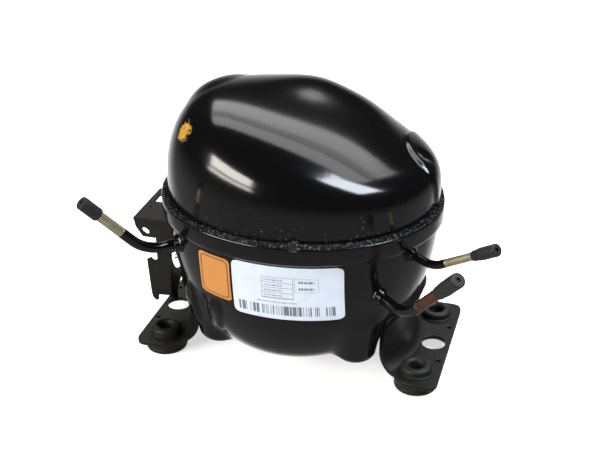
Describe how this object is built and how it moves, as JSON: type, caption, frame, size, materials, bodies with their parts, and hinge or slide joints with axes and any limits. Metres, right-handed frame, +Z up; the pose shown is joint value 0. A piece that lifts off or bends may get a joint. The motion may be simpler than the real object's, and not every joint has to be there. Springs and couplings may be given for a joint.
{
  "type": "hermetic compressor",
  "caption": "Sealed reciprocating refrigeration compressor: welded oval steel housing on rubber feet, stub tubes, sprung motor and crank pump inside.",
  "frame": {"origin": "centre of the four mounting holes, on the plane that the grommets rest on", "axes": "+X along the long side of the mounting pattern, towards the end with two stub tubes; +Z up along the crankshaft; -Y faces the labels"},
  "size_m": [0.2483, 0.172, 0.1797],
  "materials": {
    "housing_paint": "gloss black paint",
    "weld_paint": "painted weld",
    "grommet_rubber": "moulded, matt",
    "cap_rubber": "moulded, matt",
    "tube_brass": "drawn, clean end, painted root",
    "tube_copper": "drawn copper, clean end, painted root",
    "rating_label": "printed film",
    "side_label": "printed film",
    "lamination_steel": "punched laminations",
    "winding_copper": "enamelled copper wire",
    "cast_iron": "machined casting",
    "machined_steel": "ground",
    "spring_steel": "oiled spring wire",
    "aluminium": "die cast",
    "muffler_plastic": "moulded",
    "terminal_plastic": "moulded",
    "wire_sleeve": "insulated lead",
    "gasket_sheet": "coated gasket sheet"
  },
  "bodies": {
    "housing": {"lower_shell": "housing_paint", "upper_shell": "housing_paint", "seam_weld": "weld_paint", "left_base_bracket": "housing_paint", "right_base_bracket": "housing_paint", "terminal_fence": "housing_paint", "hermetic_terminal": "machined_steel", "cluster_plug": "terminal_plastic", "lead_wires": "wire_sleeve", "suction_tube": "tube_brass", "discharge_tube": "tube_brass", "process_tube": "tube_copper", "suction_tube_collar": "weld_paint", "discharge_tube_collar": "weld_paint", "process_tube_collar": "weld_paint", "rating_label": "rating_label", "side_label": "side_label", "discharge_line": "machined_steel", "front_left_grommet": "grommet_rubber", "front_left_lower_spring_seat": "terminal_plastic", "front_left_spring": "spring_steel", "front_right_grommet": "grommet_rubber", "front_right_lower_spring_seat": "terminal_plastic", "front_right_spring": "spring_steel", "rear_left_grommet": "grommet_rubber", "rear_left_lower_spring_seat": "terminal_plastic", "rear_left_spring": "spring_steel", "rear_right_grommet": "grommet_rubber", "rear_right_lower_spring_seat": "terminal_plastic", "rear_right_spring": "spring_steel"},
    "pump": {"stator_stack": "lamination_steel", "stator_winding": "winding_copper", "stator_bolts": "machined_steel", "cylinder_block": "cast_iron", "cylinder_gasket": "gasket_sheet", "valve_plate": "machined_steel", "head_gasket": "gasket_sheet", "cylinder_head": "aluminium", "head_bolts": "machined_steel", "suction_muffler": "muffler_plastic", "discharge_muffler": "cast_iron", "front_left_upper_spring_seat": "terminal_plastic", "front_right_upper_spring_seat": "terminal_plastic", "rear_left_upper_spring_seat": "terminal_plastic", "rear_right_upper_spring_seat": "terminal_plastic"},
    "rotor_crank": {"crankshaft": "cast_iron", "rotor_core": "lamination_steel", "rotor_end_rings": "aluminium", "oil_pickup": "machined_steel"},
    "piston": {"piston": "cast_iron", "wrist_pin": "machined_steel"},
    "connecting_rod": {"connecting_rod": "aluminium"},
    "suction_reed": {"suction_reed": "spring_steel"},
    "discharge_reed": {"discharge_reed": "spring_steel"},
    "suction_tube_cap": {"suction_tube_cap": "cap_rubber"},
    "discharge_tube_cap": {"discharge_tube_cap": "cap_rubber"},
    "process_tube_cap": {"process_tube_cap": "cap_rubber"}
  },
  "joints": [
    {"name": "pump_float", "type": "slide", "parent": "housing", "child": "pump", "axis": [0, 0, 1], "range_m": [-0.0015, 0.0015], "stiffness_N_per_m": 24000, "springref_m": 0.0019, "deforming": ["front_left_spring", "front_right_spring", "rear_left_spring", "rear_right_spring", "discharge_line", "lead_wires"]},
    {"name": "crank_turn", "type": "hinge", "parent": "pump", "child": "rotor_crank", "pos_m": [0, 0, 0], "axis": [0, 0, 1], "range_deg": [-20, 20]},
    {"name": "piston_slide", "type": "slide", "parent": "pump", "child": "piston", "axis": [-1, 0, 0], "range_m": [-0.0028, 0.0028]},
    {"name": "rod_swing", "type": "hinge", "parent": "piston", "child": "connecting_rod", "pos_m": [-0.03413, 0, 0.128], "axis": [0, 0, 1], "range_deg": [-3, 3]},
    {"name": "suction_reed_flex", "type": "hinge", "parent": "pump", "child": "suction_reed", "pos_m": [-0.0478, 0, 0.1375], "axis": [0, -1, 0], "range_deg": [0, 4], "stiffness_Nm_per_rad": 0.02},
    {"name": "discharge_reed_flex", "type": "hinge", "parent": "pump", "child": "discharge_reed", "pos_m": [-0.0512, 0.0045, 0.1385], "axis": [0, 1, 0], "range_deg": [0, 4], "stiffness_Nm_per_rad": 0.02},
    {"name": "suction_tube_cap_pull", "type": "slide", "parent": "housing", "child": "suction_tube_cap", "axis": [-0.5027, -0.4416, 0.7431], "range_m": [0, 0.05]},
    {"name": "discharge_tube_cap_pull", "type": "slide", "parent": "housing", "child": "discharge_tube_cap", "axis": [0.7151, -0.4382, 0.5446], "range_m": [0, 0.05]},
    {"name": "process_tube_cap_pull", "type": "slide", "parent": "housing", "child": "process_tube_cap", "axis": [0.5429, -0.4272, 0.723], "range_m": [0, 0.05]}
  ],
  "couplings": [
    {"joint": "piston_slide", "follows": "crank_turn", "m_per_rad": 0.007653},
    {"joint": "rod_swing", "follows": "crank_turn", "ratio": -0.1294}
  ]
}
